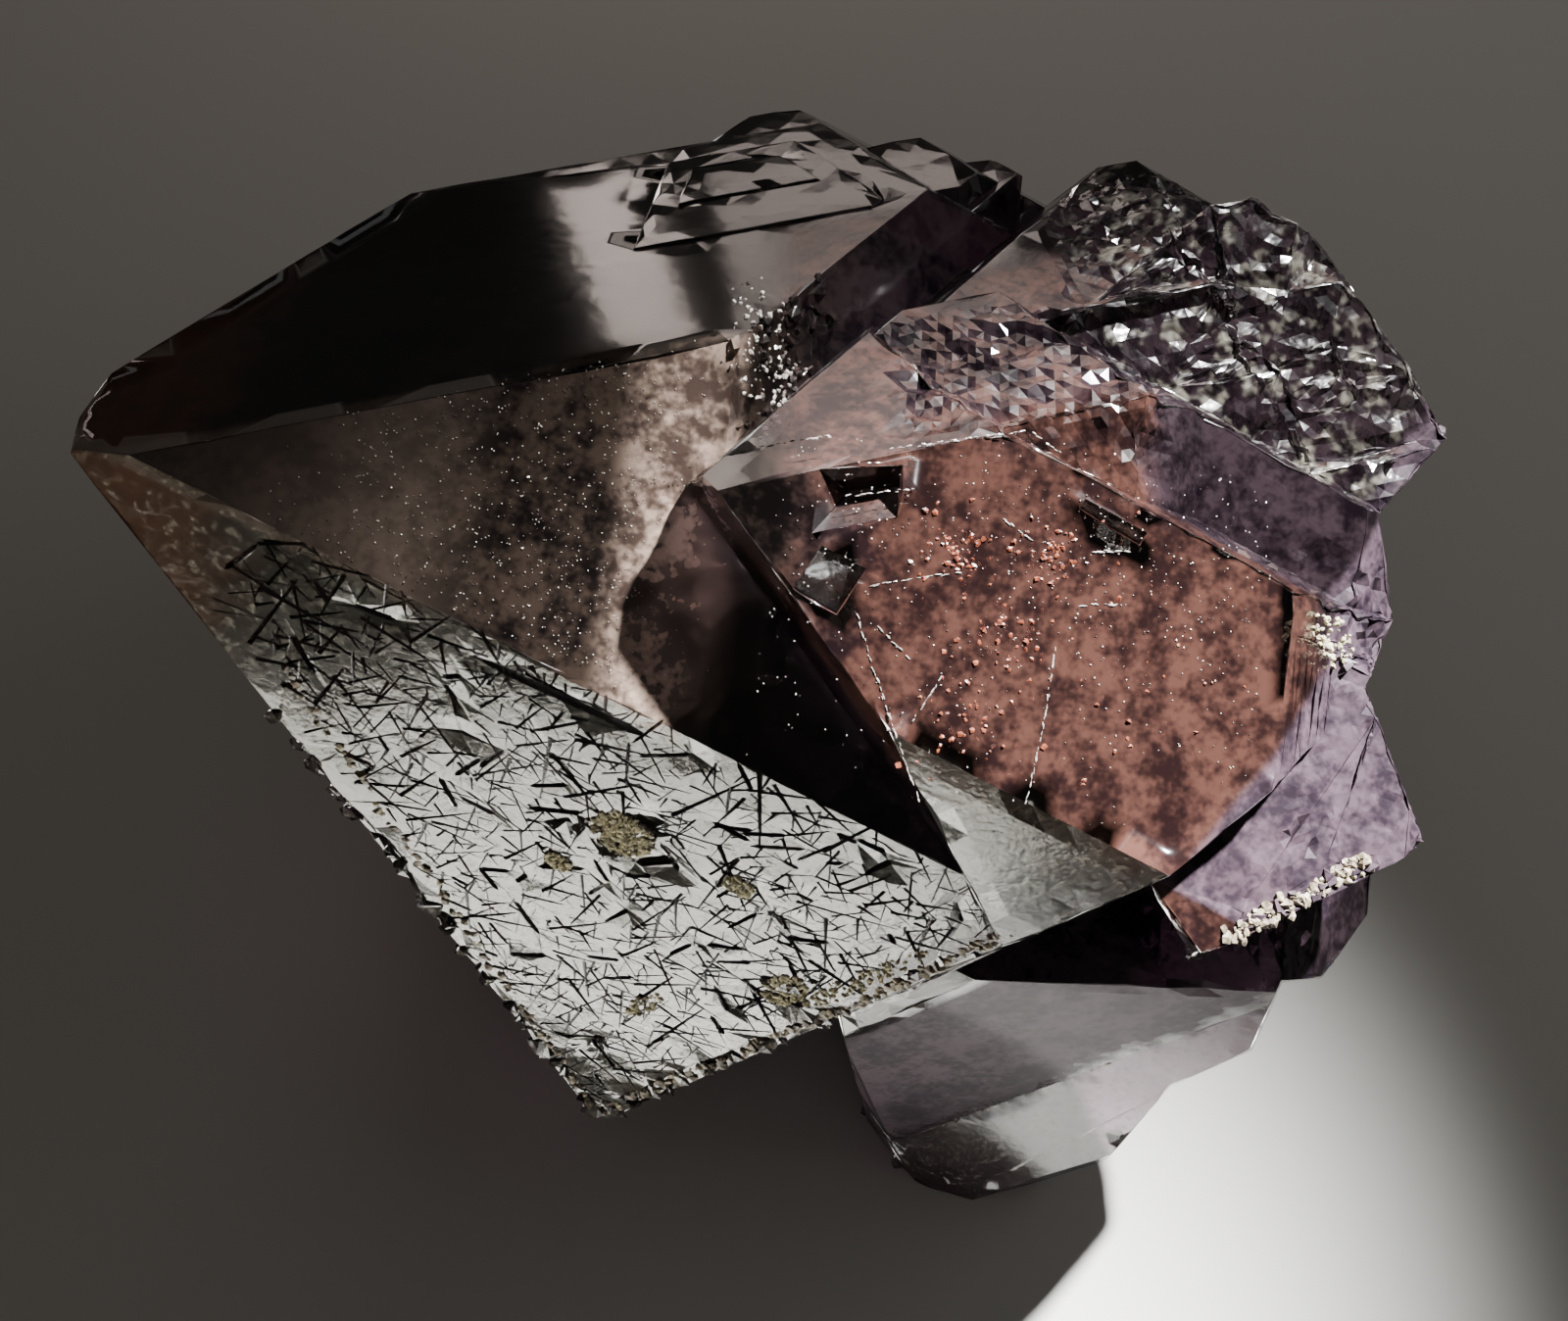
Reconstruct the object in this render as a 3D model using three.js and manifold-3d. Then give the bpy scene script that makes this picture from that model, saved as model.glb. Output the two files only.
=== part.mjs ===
// An amethyst point: one large quartz crystal with a raised crystal on its front and smaller ones grown round
// its lower end, all in parallel growth, so that every crystal shares one set of face directions.
// Millimetres, +Z up. The specimen rests on a flat cut where it was taken off the rock, at z = 0.
import * as THREE from "three";
import { ConvexGeometry } from "three/addons/geometries/ConvexGeometry.js";
import { mergeVertices } from "three/addons/utils/BufferGeometryUtils.js";
import Module from "manifold-3d";

const wasm = await Module();
wasm.setup();

// Quartz: six roof faces lean this far from the crystal's long axis, and six walls stand along it.
const ROOF_LEAN = 51.79;
const WALL_LEAN = 90;
const SIDES = 6;
// Faces are numbered round the long axis, 60 degrees apart. The front one looks at the viewer.
const FRONT = 0;
const UPPER = 1;
const REAR_TOP = 2;
const REAR = 3;
const LOWER = 5;

// How the whole growth lies: its long axis leans from the vertical towards a heading, and is spun on itself.
const LEAN = 43.1;
const HEADING = 187.1;
const SPIN = 160.5;
// The corner near the tip where the three faces in front meet. Distances to faces are measured from it.
const FRONT_CORNER = [-24, 0, 33.2];
// How far below that corner, along the long axis, the growth broke off.
const BREAK = -41;
const FAR = 200;

const radians = THREE.MathUtils.degToRad;

// Repeatable random numbers, so that the small growth comes out the same each time.
function dice(seed) {
  let state = seed;
  const roll = () => {
    state = (state * 1664525 + 1013904223) % 4294967296;
    return state / 4294967296;
  };
  return (low, high) => low + (high - low) * roll();
}

function faceNormal(side, lean) {
  const round = (side * 2 * Math.PI) / SIDES;
  const out = Math.sin(radians(lean));
  return new THREE.Vector3(out * Math.cos(round), out * Math.sin(round), Math.cos(radians(lean)));
}

// A face's own frame: x runs down it, y across it towards the next side, z out of it.
function faceFrame(side, lean, far) {
  const out = faceNormal(side, lean);
  const down = faceNormal(side, lean + 90);
  const across = new THREE.Vector3().crossVectors(out, down);
  return new THREE.Matrix4().makeBasis(down, across, out).setPosition(out.clone().multiplyScalar(far));
}

// The corners of the convex solid between planes, each a normal and its distance from the origin.
function cornersBetween(planes) {
  const corners = [];
  const system = new THREE.Matrix3();
  for (let i = 0; i < planes.length; i++)
    for (let j = i + 1; j < planes.length; j++)
      for (let k = j + 1; k < planes.length; k++) {
        const [p, q, r] = [planes[i], planes[j], planes[k]];
        system.set(...p.normal.toArray(), ...q.normal.toArray(), ...r.normal.toArray());
        if (Math.abs(system.determinant()) < 1e-6) continue;
        const corner = new THREE.Vector3(p.far, q.far, r.far).applyMatrix3(system.invert());
        if (planes.every((plane) => plane.normal.dot(corner) < plane.far + 1e-6)) corners.push(corner);
      }
  return corners;
}

function solidFrom(geometry) {
  const bare = geometry.clone();
  bare.deleteAttribute("normal");
  bare.deleteAttribute("uv");
  const merged = mergeVertices(bare, 1e-4);
  return new wasm.Manifold(
    new wasm.Mesh({
      numProp: 3,
      vertProperties: new Float32Array(merged.attributes.position.array),
      triVerts: new Uint32Array(merged.index.array),
    }),
  );
}

function geometryOf(solid) {
  const mesh = solid.getMesh();
  const geometry = new THREE.BufferGeometry();
  geometry.setAttribute("position", new THREE.BufferAttribute(mesh.vertProperties.slice(), 3));
  geometry.setIndex(new THREE.BufferAttribute(mesh.triVerts.slice(), 1));
  return geometry;
}

function hull(points, place = new THREE.Matrix4()) {
  const placed = points.map((point) => new THREE.Vector3(...point).applyMatrix4(place));
  return solidFrom(new ConvexGeometry(placed));
}

// A crystal, by how far each of its roof faces and walls lies from the front corner of the main crystal.
// Extra faces, broken or steeper than the roof, are given by their side, lean and distance.
function crystal({ roof, wall, foot = BREAK, extra = [] }) {
  const planes = [{ normal: new THREE.Vector3(0, 0, -1), far: -foot }];
  for (const { side, lean, far } of extra) planes.push({ normal: faceNormal(side, lean), far });
  for (let side = 0; side < SIDES; side++) {
    planes.push({ normal: faceNormal(side, ROOF_LEAN), far: roof[side] });
    planes.push({ normal: faceNormal(side, WALL_LEAN), far: wall[side] });
  }
  return solidFrom(new ConvexGeometry(cornersBetween(planes)));
}

// What lies beyond all the given faces at once.
function whatLiesBeyond(faces) {
  const planes = [];
  for (const { side, lean, far } of faces)
    planes.push({ normal: faceNormal(side, lean).negate(), far: -far });
  for (const axis of [0, 1, 2])
    for (const sign of [-1, 1])
      planes.push({ normal: new THREE.Vector3().setComponent(axis, sign), far: FAR });
  return solidFrom(new ConvexGeometry(cornersBetween(planes)));
}

// Steeper and broken faces that several crystals share.
const UNDERCUT = { side: LOWER, lean: 125, far: 33.4 };
const HIND_EDGE = { side: 3.5, lean: 100, far: 22 };
const BLUNT_TIP = { side: 2.82, lean: 23, far: 1.8 };
const STEEP_LOWER = { side: LOWER, lean: 72, far: 12.2 };
const LEFT_END = { side: 3.51, lean: 50, far: -18.2 };
const LEFT_FOOT = { side: 4.04, lean: 57, far: -3.7 };
const TORN_FLANK = { side: 0.83, lean: 69.3, far: 11.4 };
const TUCKED_IN = { side: LOWER, lean: 105, far: 31.2 };
const ROOT_BREAK = { side: 0.3, lean: 150, far: 51 };

// Roof and wall distances run round the axis from the front face.
const crystals = [
  // The main crystal's upper half, which ends in a wall short of the raised crystal.
  { roof: [0, 0, 3.35, 2.8, 1.6, 0], wall: [12.6, 20, 13.9, 13, 23, 21.5],
    extra: [UNDERCUT, HIND_EDGE, BLUNT_TIP] },
  // Its lower half, which runs on under the raised crystal.
  { roof: [0, -3.5, 3.35, 2.8, 1.6, 0], wall: [28, 18, 8, 13, 23, 21.7],
    extra: [UNDERCUT, HIND_EDGE, BLUNT_TIP] },
  // The raised crystal and the shoulder above it.
  { roof: [3.6, -1.5, -12.7, -5, -15.1, 0.15], wall: [28.2, 14.7, 1.8, 0, 12, 21.9], extra: [UNDERCUT] },
  { roof: [2.6, -1.9, -12.9, -5, -17, -5], wall: [23.7, 18.1, 1.8, 0, 12, 10] },
  // The lower crystal: a steep dark face under the main one, and a bright roof face below it.
  { roof: [-4, -10, -20, -10, -8.9, -0.3], wall: [25.3, 5, 0, 4, 24, 29], foot: -46,
    extra: [STEEP_LOWER, LEFT_END, LEFT_FOOT] },
  { roof: [-4, -10, -20, -10, -8.8, -4.2], wall: [24.8, 5, 0, 4, 24, 29], foot: -46,
    extra: [LEFT_END, LEFT_FOOT] },
  // Crystals behind the main one.
  { roof: [-8, -0.4, -2.5, 0, -10, -20], wall: [8, 20, 16, 0, 0, 0] },
  { roof: [-8, -1.2, -6.5, 0, -10, -20], wall: [12, 21.5, 13, 0, 0, 0] },
  { roof: [-8, -2.1, -9.5, 0, -10, -20], wall: [12.3, 22.2, 11.5, 0, 0, 0], foot: -32 },
  // The upper right group: a dark crystal with one smooth face, torn off on its right, and its neighbours.
  { roof: [3.2, -2.2, -13.7, -10, -20, -12], wall: [26, 25.1, 9.4, 0, 0, 0], extra: [TORN_FLANK] },
  { roof: [-2.6, -0.2, -17.3, -10, -20, -12], wall: [24.1, 25.9, 3.2, 0, 0, 5] },
  { roof: [-2.6, -3, -16, -10, -20, -12], wall: [30, 25.2, 5, 0, 0, 10] },
  { roof: [-2.2, -8, -22, -15, -20, -10], wall: [29, 21, 0, 0, 0, 12] },
  { roof: [-2.2, -9.6, -30, -15, -20, -11.5], wall: [29, 17.3, 0, 0, 0, 15.3] },
  // The lower right crystal.
  { roof: [2.4, -9, -28, -20, -20, 1.5], wall: [31, 13.2, 0, -24.9, 0, 24.2], extra: [TUCKED_IN] },
  // The root of the growth, out of sight below the break, which reaches down to the cut.
  { roof: [-8, -10, -14, -10, -12, -12], wall: [9, 11, 9, 6, 9, 13], foot: -54, extra: [ROOT_BREAK] },
  { roof: [-6, -8, -12, -10, -16, -10], wall: [15, 6, 3, 0, 6, 11], foot: -47.5, extra: [ROOT_BREAK] },
];

// Fine ridges at the right end of the raised crystal, each a little further out and lower than the last.
const RIDGES = 3;
for (let ridge = 1; ridge <= RIDGES; ridge++)
  crystals.push({
    roof: [3.6 - 0.28 * ridge, -2.6, -20, -20, -20, -0.3 * ridge],
    wall: [28.2 + 0.16 * ridge, 13.4 - 0.1 * ridge, 0, 0, 0, 21.7],
    extra: [UNDERCUT],
  });

// Growth steps on the upper face: thin plates near its lower right end.
const PLATES = 3;
for (let plate = 1; plate <= PLATES; plate++)
  crystals.push({
    roof: [-3.4 - 1.9 * plate, 0.09 * plate, 3.2 - 0.6 * plate, -13.5 - 1.1 * plate, 0, 0],
    wall: [12.2 - 0.6 * plate, 19.6 - 0.7 * plate, 13.6 - 0.9 * plate, 0, 0, 0],
  });

// Chips knocked off the broken end: each took what lay beyond its faces.
const chips = [
  [{ side: 0.52, lean: 104, far: 37.8 }],
  [{ side: 0.65, lean: 100, far: 34.6 }],
  [{ side: 5.37, lean: 114, far: 32.5 }, { side: 0.25, lean: 111, far: 39.4 }],
  [{ side: 5.74, lean: 114, far: 40.3 }, { side: 0.46, lean: 110, far: 35.1 }],
  [{ side: 5.52, lean: 109, far: 41.2 }],
  [{ side: 4.77, lean: 90, far: 20.7 }, { side: 5.7, lean: 112, far: 40.8 }],
  [{ side: 5.07, lean: 97, far: 32.4 }, { side: 5.43, lean: 108, far: 38.8 }],
  [{ side: 5.14, lean: 98, far: 34.7 }],
];

// A slanting pit in the raised crystal. Its bright floor lies like the lower face.
function slantingPit({ floor, end, near, beyond }) {
  return [
    { side: LOWER, lean: ROOF_LEAN, far: floor },
    { side: 1.15, lean: 102, far: end },
    { side: 5.44, lean: 129, far: near },
    { side: 2.44, lean: 51, far: -beyond },
  ];
}
const DARK_NOTCH = [
  { side: UPPER, lean: ROOF_LEAN, far: -3 },
  { side: LOWER, lean: 80, far: 3.6 },
  { side: FRONT, lean: 95, far: 18.6 },
  { side: REAR, lean: 80, far: -21.9 },
];
const pits = [
  slantingPit({ floor: -3.2, end: 7.7, near: 21.7, beyond: 23.4 }),
  slantingPit({ floor: -7.4, end: 15.2, near: 28.6, beyond: 31.1 }),
  DARK_NOTCH,
];

// A V-shaped groove cut into a face, tapering to both ends. Its cutter stands proud of the face by the lift.
function groove({ down, across, turn, length, width, depth }) {
  const lift = 0.3;
  const spread = (width / 2) * (1 + lift / depth);
  const points = [];
  for (const end of [-1, 1]) {
    points.push([(end * length) / 2, 0, lift]);
    points.push([(end * length) / 4, spread, lift]);
    points.push([(end * length) / 4, -spread, lift]);
    points.push([(end * length) / 4, 0, -depth]);
  }
  const place = new THREE.Matrix4().makeTranslation(down, across, 0);
  return hull(points, place.multiply(new THREE.Matrix4().makeRotationZ(radians(turn))));
}

// How far the lower face runs down, and how far it spreads to each side for each millimetre down.
const FACE_LENGTH = 33.5;
const FACE_SPREAD = [-0.4, 0.34];
// Its grooves follow the directions of the crystal's edges, as angles from straight down the face.
const EDGE_TURN = 22.4;
const GROOVE_TURNS = [EDGE_TURN, -EDGE_TURN, 90, 56];
const SHORT_GROOVES = 72;
const LONG_GROOVE = { down: 16.4, across: 4.7, turn: EDGE_TURN, length: 9.8, width: 0.36, depth: 0.28 };

function lowerFaceGrooves() {
  const roll = dice(11);
  const grooves = [groove(LONG_GROOVE)];
  for (let i = 0; i < SHORT_GROOVES; i++) {
    const down = Math.sqrt(roll(0.02, 1)) * FACE_LENGTH;
    const across = roll(...FACE_SPREAD) * down;
    const turn = GROOVE_TURNS[Math.floor(roll(0, GROOVE_TURNS.length))] + roll(-6, 6);
    const [length, width, depth] = [roll(0.9, 3.4), roll(0.1, 0.22), roll(0.1, 0.2)];
    grooves.push(groove({ down, across, turn, length, width, depth }));
  }
  const place = faceFrame(LOWER, ROOF_LEAN, 0);
  return grooves.map((cut) => solidFrom(geometryOf(cut).applyMatrix4(place)));
}

// An angular lump, about as big as the given half sizes. Its corners wind round it from one end to the other.
const GOLDEN_TURN = 2.4;
function lump(roll, halfDown, halfAcross, halfOut) {
  const CORNERS = 8;
  const points = [];
  for (let corner = 0; corner < CORNERS; corner++) {
    const height = -1 + (2 * (corner + roll(0.1, 0.9))) / CORNERS;
    const round = corner * GOLDEN_TURN + roll(-0.5, 0.5);
    const ring = Math.sqrt(1 - height * height);
    const [x, y] = [ring * Math.cos(round), ring * Math.sin(round)];
    points.push([halfDown * x, halfAcross * y, halfOut * height]);
  }
  return points;
}

// Lumps scattered along a line drawn on a face, from one end [down, across] to the other. They are turned at
// random, unless they are stretched along the line.
function lumpsAlong({ seed, face, from, to, spread, count, size, flat = 0.5, stretch = 1 }) {
  const roll = dice(seed);
  const lineTurn = Math.atan2(to[1] - from[1], to[0] - from[0]);
  const lumps = [];
  for (let i = 0; i < count; i++) {
    const along = (i + roll(0, 1)) / count;
    const down = from[0] + (to[0] - from[0]) * along + roll(-spread, spread);
    const across = from[1] + (to[1] - from[1]) * along + roll(-spread, spread);
    const half = size * roll(0.4, 1);
    const turn = stretch > 1 ? lineTurn + roll(-0.2, 0.2) : roll(0, Math.PI);
    const place = faceFrame(...face)
      .multiply(new THREE.Matrix4().makeTranslation(down, across, -0.2 * half * flat))
      .multiply(new THREE.Matrix4().makeRotationZ(turn));
    lumps.push(hull(lump(roll, half * stretch, half * roll(0.5, 1), half * flat), place));
  }
  return lumps;
}

const lowerFace = [LOWER, ROOF_LEAN, 0];
const shortWall = [FRONT, WALL_LEAN, 12.6];
const tornFace = [FRONT, ROOF_LEAN, -2.6];
const lowerRightFace = [FRONT, ROOF_LEAN, 2.4];
const brightFace = [LOWER, ROOF_LEAN, -4.3];
const breakFace = [REAR, 176, 40.8];

const clumps = [
  // Crumbly growth along the lower face's left and bottom edges.
  { seed: 21, face: lowerFace, from: [9, -5.75], to: [34.2, -14.25], spread: 0.25, count: 34, size: 0.8 },
  { seed: 22, face: lowerFace, from: [34.4, -14.2], to: [34.7, 1], spread: 0.35, count: 20, size: 0.75 },
  { seed: 23, face: lowerFace, from: [34.6, 1], to: [34.5, 17], spread: 0.2, count: 14, size: 0.45 },
  // Clay and rough quartz on the lower face.
  { seed: 31, face: lowerFace, from: [21.4, 0.2], to: [23.4, 2.2],
    spread: 1, count: 14, size: 0.9, flat: 0.3 },
  { seed: 32, face: lowerFace, from: [21.6, -2.6], to: [22.4, -2],
    spread: 0.4, count: 5, size: 0.5, flat: 0.3 },
  { seed: 33, face: lowerFace, from: [26.6, 2.6], to: [27.4, 3.8],
    spread: 0.3, count: 5, size: 0.5, flat: 0.4 },
  { seed: 34, face: lowerFace, from: [31.6, -0.6], to: [32.8, 1.4], spread: 0.5, count: 9, size: 0.6 },
  // The rough, glittering corner where the upper face, the front face and the wall beyond them meet.
  { seed: 41, face: shortWall, from: [16.3, 7], to: [20, 10.2],
    spread: 1.1, count: 30, size: 0.5, flat: 0.8 },
  { seed: 42, face: shortWall, from: [15.6, 3.2], to: [20.4, 7],
    spread: 0.6, count: 18, size: 0.45, flat: 0.8 },
  // Torn streaks down the flank of the upper right group.
  { seed: 51, face: tornFace, from: [36.8, 15.6], to: [39.4, 12.2],
    spread: 0.5, count: 12, size: 0.4, stretch: 2.2 },
  { seed: 52, face: tornFace, from: [39, 13], to: [43.8, 7],
    spread: 0.6, count: 18, size: 0.42, stretch: 2.4 },
  { seed: 53, face: tornFace, from: [44.6, 11.8], to: [45.4, 9.4],
    spread: 0.3, count: 5, size: 0.5, stretch: 1.6 },
  // Crumbs in the gap at the raised crystal's right end, and along the ridge of the lower right crystal.
  { seed: 61, face: lowerRightFace, from: [41.6, 0.2], to: [43.8, -1.8],
    spread: 0.4, count: 10, size: 0.55 },
  { seed: 62, face: lowerRightFace, from: [45.6, -8.6], to: [40.6, -12],
    spread: 0.3, count: 16, size: 0.5 },
  // The worn lower left corner of the lower crystal, and the rim between its two faces.
  { seed: 71, face: brightFace, from: [47.6, -9.4], to: [51.6, -5.6], spread: 0.4, count: 16, size: 0.8 },
  { seed: 72, face: brightFace, from: [46.6, -4.4], to: [46.4, 8], spread: 0.3, count: 16, size: 0.5 },
  // The torn break behind.
  { seed: 82, face: breakFace, from: [-24, 14], to: [-24, -18], spread: 4.5, count: 30, size: 1.8 },
].flatMap(lumpsAlong);

// Small crystals on the hidden flanks near the cut, in the same parallel growth, set round the long axis.
const ROOTS = 16;
const ROOT_START = 100;
const ROOT_TURN = 110;
function rootCrystals() {
  const roll = dice(91);
  const roots = [];
  for (let i = 0; i < ROOTS; i++) {
    const round = radians(ROOT_START + (i * ROOT_TURN) / ROOTS);
    const middle = new THREE.Vector3(Math.cos(round), Math.sin(round), 0).multiplyScalar(roll(11, 15));
    const half = roll(1.4, 3);
    const top = roll(-33, -20);
    const roof = [];
    const wall = [];
    for (let side = 0; side < SIDES; side++) {
      roof.push(faceNormal(side, ROOF_LEAN).dot(middle.clone().setZ(top)) + roll(0, 0.5));
      wall.push(faceNormal(side, WALL_LEAN).dot(middle) + half * roll(0.8, 1.1));
    }
    roots.push({ roof, wall });
  }
  return roots;
}

const grown = wasm.Manifold.union([...crystals, ...rootCrystals()].map(crystal));
// Only lumps that are well rooted in the growth stay on it.
const rooted = clumps.filter((each) => each.intersect(grown).volume() > 0.25 * each.volume());
const crusted = wasm.Manifold.union([grown, ...rooted]);
const holes = [...chips, ...pits].map(whatLiesBeyond);
const taken = wasm.Manifold.union([...holes, ...lowerFaceGrooves()]);

const laid = new THREE.Matrix4()
  .makeTranslation(...FRONT_CORNER)
  .multiply(new THREE.Matrix4().makeRotationZ(radians(HEADING)))
  .multiply(new THREE.Matrix4().makeRotationY(radians(LEAN)))
  .multiply(new THREE.Matrix4().makeRotationZ(radians(SPIN)));
const aboveCut = new THREE.BoxGeometry(FAR, FAR, FAR).translate(0, 0, FAR / 2);
const whole = solidFrom(geometryOf(crusted.subtract(taken)).applyMatrix4(laid));
const specimen = whole.intersect(solidFrom(aboveCut));

const mesh = new THREE.Mesh(
  geometryOf(specimen),
  new THREE.MeshStandardMaterial({ color: 0x5b4452, roughness: 0.25 }),
);
mesh.name = "amethyst_cluster";

const root = new THREE.Group();
root.name = "amethyst_point";
root.add(mesh);
export default root;
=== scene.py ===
import math
import random

import bmesh
import bpy
from bpy.props import FloatProperty, FloatVectorProperty, IntProperty, PointerProperty
from mathutils import Matrix, Vector, noise


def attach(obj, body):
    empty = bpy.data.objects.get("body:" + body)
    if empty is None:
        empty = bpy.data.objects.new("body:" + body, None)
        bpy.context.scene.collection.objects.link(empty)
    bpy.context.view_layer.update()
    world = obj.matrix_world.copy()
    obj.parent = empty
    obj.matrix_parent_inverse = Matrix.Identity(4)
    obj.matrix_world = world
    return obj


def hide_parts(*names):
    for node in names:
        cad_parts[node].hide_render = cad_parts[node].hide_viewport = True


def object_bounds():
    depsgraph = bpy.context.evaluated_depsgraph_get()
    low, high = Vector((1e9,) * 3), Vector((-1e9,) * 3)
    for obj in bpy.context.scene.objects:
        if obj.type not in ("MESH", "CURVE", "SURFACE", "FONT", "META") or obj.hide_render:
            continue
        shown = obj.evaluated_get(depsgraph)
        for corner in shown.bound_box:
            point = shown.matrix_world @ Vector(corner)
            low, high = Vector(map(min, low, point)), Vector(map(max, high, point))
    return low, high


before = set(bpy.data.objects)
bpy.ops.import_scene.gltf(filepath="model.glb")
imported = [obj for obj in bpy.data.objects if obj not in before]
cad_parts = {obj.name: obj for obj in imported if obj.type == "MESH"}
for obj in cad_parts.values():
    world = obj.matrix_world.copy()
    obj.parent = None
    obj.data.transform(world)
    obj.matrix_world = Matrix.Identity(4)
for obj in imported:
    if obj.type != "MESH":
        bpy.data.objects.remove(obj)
CAD_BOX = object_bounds()

bl_info = {
    "name": "Amethyst Point",
    "version": (1, 0, 0),
    "blender": (4, 5, 0),
    "location": "View3D > Sidebar > Amethyst",
    "description": "Dresses an amethyst point: clear crystal, specks, cracks, grains, clay, floor and light",
    "category": "Object",
}

MM = 0.001
NODE = "amethyst_cluster"

# The sides in use, of the six that are numbered round the crystal's long axis as in the solid.
FRONT, UPPER, LOWER = 0, 1, 5
# How far a roof face and a wall lean away from the long axis, in degrees.
ROOF_LEAN = 51.79
WALL_LEAN = 90
# The corner near the tip where the front faces meet, and the matrix from the crystal's own frame, which
# starts there, to the model's.
FRONT_CORNER = Vector((-24, 0, 33.2)) * MM
LAID = (
    Matrix.Translation(FRONT_CORNER)
    @ Matrix.Rotation(math.radians(187.1), 4, "Z")
    @ Matrix.Rotation(math.radians(43.1), 4, "Y")
    @ Matrix.Rotation(math.radians(160.5), 4, "Z")
)


def face_direction(side, lean):
    """A face's outward direction in the crystal's own frame."""
    turn = math.radians(60 * side)
    lean = math.radians(lean)
    return Vector((math.sin(lean) * math.cos(turn), math.sin(lean) * math.sin(turn), math.cos(lean)))


def face_axes(side, lean):
    """A face's axes in the crystal's own frame: down it, across it towards the next side, and out of it."""
    out = face_direction(side, lean)
    down = face_direction(side, lean + 90)
    return down, out.cross(down), out


def face_place(side, lean, far):
    """The matrix from a face's millimetres (down, across, out) to the model's metres."""
    down, across, out = face_axes(side, lean)
    turn = Matrix((down, across, out)).transposed().to_4x4()
    return LAID @ Matrix.Scale(MM, 4) @ Matrix.Translation(out * far) @ turn


# Shader maths: sockets are wrapped, so that expressions on them add their nodes.
class Value:
    """A socket with the arithmetic operators."""

    def __init__(self, finish, socket):
        self.finish = finish
        self.socket = socket

    def math(self, operation, *others, clamp=False):
        settings = {"operation": operation, "use_clamp": clamp}
        return self.finish.node("ShaderNodeMath", settings, {0: self, **dict(enumerate(others, 1))})

    def __add__(self, other):
        return self.math("ADD", other)

    def __radd__(self, other):
        return self.math("ADD", other)

    def __rsub__(self, other):
        settings = {"operation": "SUBTRACT"}
        return self.finish.node("ShaderNodeMath", settings, {0: other, 1: self})

    def __mul__(self, other):
        return self.math("MULTIPLY", other)

    def __rmul__(self, other):
        return self.math("MULTIPLY", other)

    def clamp(self):
        return self.math("ADD", 0.0, clamp=True)

    def larger(self, other):
        return self.math("MAXIMUM", other)

    def size(self):
        return self.math("ABSOLUTE")

    def between(self, low, high):
        """0 at low and 1 at high, eased, or falling where low is the larger."""
        settings = {"interpolation_type": "SMOOTHSTEP"}
        values = {"Value": self, "From Min": low, "From Max": high}
        return self.finish.node("ShaderNodeMapRange", settings, values)


class Finish:
    """A material's node tree."""

    def __init__(self, name):
        self.material = bpy.data.materials.new(name)
        self.material.use_nodes = True
        self.tree = self.material.node_tree
        self.tree.nodes.clear()
        self.end = self.tree.nodes.new("ShaderNodeOutputMaterial")

    def node(self, kind, settings=None, values=None, output=0):
        """Adds a node: its settings first, then its sockets' values or links. Gives one output's socket."""
        node = self.tree.nodes.new(kind)
        for name, setting in (settings or {}).items():
            setattr(node, name, setting)
        for name, value in (values or {}).items():
            socket = node.inputs[name]
            if isinstance(value, Value):
                self.tree.links.new(value.socket, socket)
            elif isinstance(value, (tuple, list, Vector)) and len(value) == 3 and socket.type == "RGBA":
                socket.default_value = (*value, 1)
            else:
                socket.default_value = value
        return Value(self, node.outputs[output])

    def place(self):
        """Where a point is, in the crystal's own frame, in millimetres."""
        object_place = self.node("ShaderNodeTexCoord", output="Object")
        values = {
            "Vector": object_place,
            "Location": FRONT_CORNER,
            "Rotation": LAID.to_euler(),
            "Scale": (MM, MM, MM),
        }
        return self.node("ShaderNodeMapping", {"vector_type": "TEXTURE"}, values)

    def dot(self, vector, direction):
        values = {0: vector, 1: direction}
        return self.node("ShaderNodeVectorMath", {"operation": "DOT_PRODUCT"}, values, output="Value")

    def noise(self, place, scale, detail, roughness=0.55, stretch=None):
        if stretch:
            values = {"Vector": place, "Scale": stretch}
            place = self.node("ShaderNodeMapping", {"vector_type": "POINT"}, values)
        values = {"Vector": place, "Scale": scale, "Detail": detail, "Roughness": roughness}
        return self.node("ShaderNodeTexNoise", {"noise_dimensions": "3D"}, values)

    def mix(self, share, first, second):
        """A mix of two colours."""
        values = {"Factor": share, 6: first, 7: second}
        settings = {"data_type": "RGBA", "blend_type": "MIX"}
        return self.node("ShaderNodeMix", settings, values, output=2)

    def bump(self, height, strength, distance, normal=None):
        values = {"Height": height, "Strength": strength, "Distance": distance}
        if normal:
            values["Normal"] = normal
        return self.node("ShaderNodeBump", {}, values)

    def surface(self, **values):
        names = {
            name.replace("_", " ").title().replace("Ior", "IOR"): value
            for name, value in values.items()
        }
        return self.node("ShaderNodeBsdfPrincipled", {}, names)

    def blend(self, share, first, second):
        """A mix of two surfaces."""
        return self.node("ShaderNodeMixShader", {}, {0: share, 1: first, 2: second})

    def done(self, surface, volume=None):
        self.tree.links.new(surface.socket, self.end.inputs["Surface"])
        if volume:
            self.tree.links.new(volume.socket, self.end.inputs["Volume"])
        return self.material


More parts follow.
